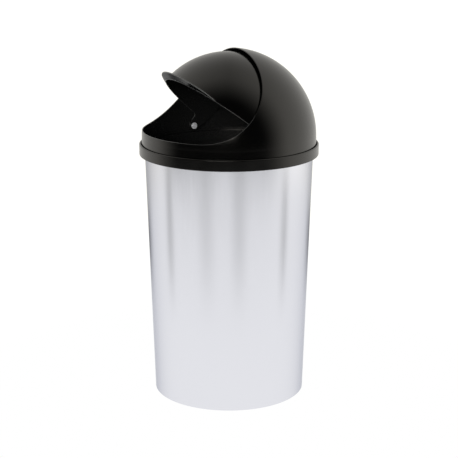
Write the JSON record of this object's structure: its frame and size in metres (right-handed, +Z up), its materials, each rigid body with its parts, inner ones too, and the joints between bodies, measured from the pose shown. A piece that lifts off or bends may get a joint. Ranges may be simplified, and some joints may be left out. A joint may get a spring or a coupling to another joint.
{
  "type": "dome-lid waste bin",
  "caption": "Tall round waste bin with a tapered brushed-steel drum, a black collar, and a black dome hood in which a dome visor with a pull lip swings open.",
  "frame": {"origin": "On the floor, on the drum's axis.", "axes": "+Z up, -Y towards the front where the mouth opens, +X to the right seen from the front."},
  "size_m": [0.3599, 0.36, 0.7035],
  "materials": {
    "brushed_steel": "fine vertical brushing, silver",
    "black_plastic": "moulded, satin black",
    "plated_steel": "bright zinc plating",
    "foot_rubber": "matt",
    "white_nylon": "natural nylon"
  },
  "bodies": {
    "bin": {"body_shell": "brushed_steel", "base_pan": "brushed_steel", "foot_front_left": "foot_rubber", "foot_front_right": "foot_rubber", "foot_rear_left": "foot_rubber", "foot_rear_right": "foot_rubber"},
    "collar": {"collar": "black_plastic", "bag_hoop": "black_plastic"},
    "hood": {"hood": "black_plastic", "pivot_screw_left": "plated_steel", "pivot_washer_left": "plated_steel", "pivot_spring_left": "plated_steel", "pivot_bush_left": "plated_steel", "friction_washer_left": "white_nylon", "pivot_screw_right": "plated_steel", "pivot_washer_right": "plated_steel", "pivot_spring_right": "plated_steel", "pivot_bush_right": "plated_steel", "friction_washer_right": "white_nylon"},
    "visor": {"visor": "black_plastic"}
  },
  "joints": [
    {"name": "collar_lift", "type": "slide", "parent": "bin", "child": "collar", "axis": [0, 0, 1], "range_m": [0, 0.12]},
    {"name": "hood_lift", "type": "slide", "parent": "collar", "child": "hood", "axis": [0, 0, 1], "range_m": [0, 0.15]},
    {"name": "visor_pivot", "type": "hinge", "parent": "hood", "child": "visor", "pos_m": [0, 0, 0.5221], "axis": [-1, 0, 0], "range_deg": [-39.6, 30.4]}
  ]
}
